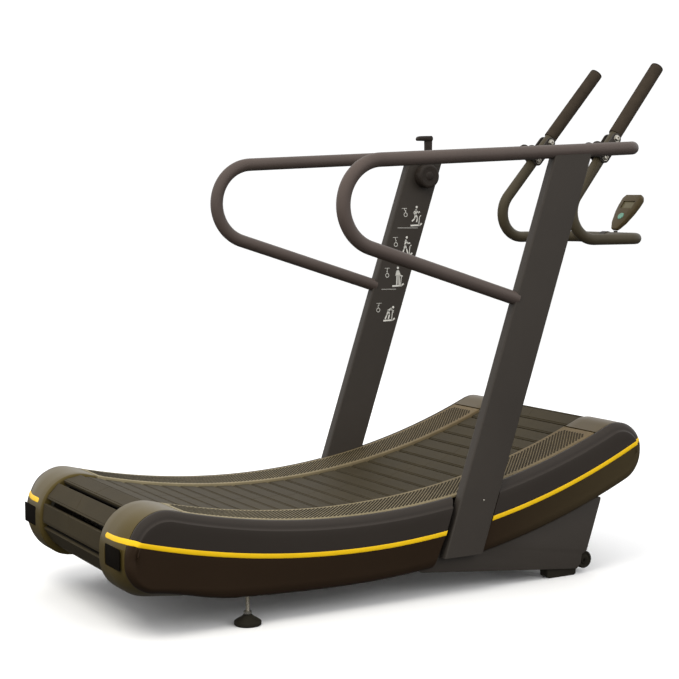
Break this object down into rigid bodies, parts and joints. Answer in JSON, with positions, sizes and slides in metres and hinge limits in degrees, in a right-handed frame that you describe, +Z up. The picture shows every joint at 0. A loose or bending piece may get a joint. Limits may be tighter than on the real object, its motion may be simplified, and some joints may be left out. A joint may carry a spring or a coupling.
{
  "type": "curved manual treadmill",
  "caption": "Curved manual treadmill with a slatted concave belt, side covers, leaning uprights, looped handrails, forward handlebar, console and resistance lever.",
  "frame": {"origin": "on the floor, below the middle of the overall box", "axes": "+X forward, +Y to the runner's left, +Z up"},
  "size_m": [1.9392, 0.79, 1.5094],
  "materials": {
    "frame_steel": "satin",
    "powder_coat": "satin",
    "black_rubber": "matte",
    "zinc_steel": "zinc plated",
    "cover_shell": "satin",
    "cap_shell": "semi-gloss",
    "footrest_rubber": "textured",
    "stripe_yellow": "gloss",
    "tread_rubber": "matte",
    "nylon_black": "matte",
    "aluminium": "satin",
    "grip_foam": "foam",
    "console_plastic": "satin",
    "screen_lens": "gloss",
    "button_teal": "satin"
  },
  "bodies": {
    "frame": {"side_plate_left": "frame_steel", "side_plate_right": "frame_steel", "cross_members": "frame_steel", "outriggers": "frame_steel", "leg_left": "powder_coat", "leg_right": "powder_coat", "leg_cross_tube": "frame_steel", "foot_blocks": "black_rubber", "wheel_axles": "frame_steel", "rear_foot_nuts": "zinc_steel", "cover_left": "cover_shell", "cover_right": "cover_shell", "rear_cap_left": "cap_shell", "rear_cap_right": "cap_shell", "rear_bumpers": "black_rubber", "nose_cap_left": "cap_shell", "nose_cap_right": "cap_shell", "footrest_left": "footrest_rubber", "footrest_right": "footrest_rubber", "stripes_left": "stripe_yellow", "stripes_right": "stripe_yellow", "slat_pads": "tread_rubber", "slat_carriers": "frame_steel", "belt_bands": "black_rubber", "guide_rollers": "nylon_black", "roller_studs": "zinc_steel", "axle_bearings": "zinc_steel", "yoke_pin": "zinc_steel", "upright_left": "powder_coat", "upright_right": "powder_coat", "upright_bolts": "zinc_steel", "handrail_left": "powder_coat", "handrail_right": "powder_coat", "handrail_cross_tube": "powder_coat", "handlebar_arm_left": "powder_coat", "handlebar_arm_right": "powder_coat", "handlebar_cross_bar": "powder_coat", "grip_left": "grip_foam", "grip_right": "grip_foam", "grip_end_caps": "nylon_black", "handlebar_clamps": "powder_coat", "clamp_bolts": "zinc_steel", "console_case": "console_plastic", "console_screen": "screen_lens", "console_stem": "nylon_black", "selector_base": "nylon_black"},
    "front_drum": {"front_axle": "zinc_steel", "front_pulleys": "nylon_black", "brake_disc": "aluminium"},
    "rear_drum": {"rear_axle": "zinc_steel", "rear_pulleys": "nylon_black"},
    "transport_wheel_left": {"transport_wheel_left": "black_rubber"},
    "transport_wheel_right": {"transport_wheel_right": "black_rubber"},
    "levelling_foot_left": {"levelling_foot_left": "black_rubber"},
    "levelling_foot_right": {"levelling_foot_right": "black_rubber"},
    "selector_lever": {"selector_lever": "nylon_black"},
    "brake_yoke": {"brake_yoke": "zinc_steel"},
    "console_button": {"console_button": "button_teal"}
  },
  "joints": [
    {"name": "front_drum_turn", "type": "hinge", "parent": "frame", "child": "front_drum", "pos_m": [0.588, 0, 0.35011], "axis": [0, 1, 0], "continuous": true},
    {"name": "rear_drum_turn", "type": "hinge", "parent": "frame", "child": "rear_drum", "pos_m": [-0.858, 0, 0.21794], "axis": [0, 1, 0], "continuous": true},
    {"name": "transport_wheel_left_turn", "type": "hinge", "parent": "frame", "child": "transport_wheel_left", "pos_m": [0.493, 0.333, 0.038], "axis": [0, 1, 0], "continuous": true},
    {"name": "transport_wheel_right_turn", "type": "hinge", "parent": "frame", "child": "transport_wheel_right", "pos_m": [0.493, -0.333, 0.038], "axis": [0, 1, 0], "continuous": true},
    {"name": "levelling_foot_left_screw", "type": "slide", "parent": "frame", "child": "levelling_foot_left", "axis": [0, 0, -1], "range_m": [0, 0.03]},
    {"name": "levelling_foot_right_screw", "type": "slide", "parent": "frame", "child": "levelling_foot_right", "axis": [0, 0, -1], "range_m": [0, 0.03]},
    {"name": "selector_turn", "type": "hinge", "parent": "frame", "child": "selector_lever", "pos_m": [0.383, 0.348, 1.163], "axis": [0, 1, 0], "range_deg": [-40, 20]},
    {"name": "brake_yoke_turn", "type": "hinge", "parent": "frame", "child": "brake_yoke", "pos_m": [0.476, 0.3, 0.35811], "axis": [0, 1, 0], "range_deg": [-8.5, 4.5]},
    {"name": "console_button_press", "type": "slide", "parent": "frame", "child": "console_button", "axis": [0.7986, 0, -0.6018], "range_m": [0, 0.0015], "stiffness_N_per_m": 800}
  ],
  "couplings": [
    {"joint": "rear_drum_turn", "follows": "front_drum_turn", "ratio": 0.77778},
    {"joint": "brake_yoke_turn", "follows": "selector_turn", "ratio": 0.2}
  ]
}
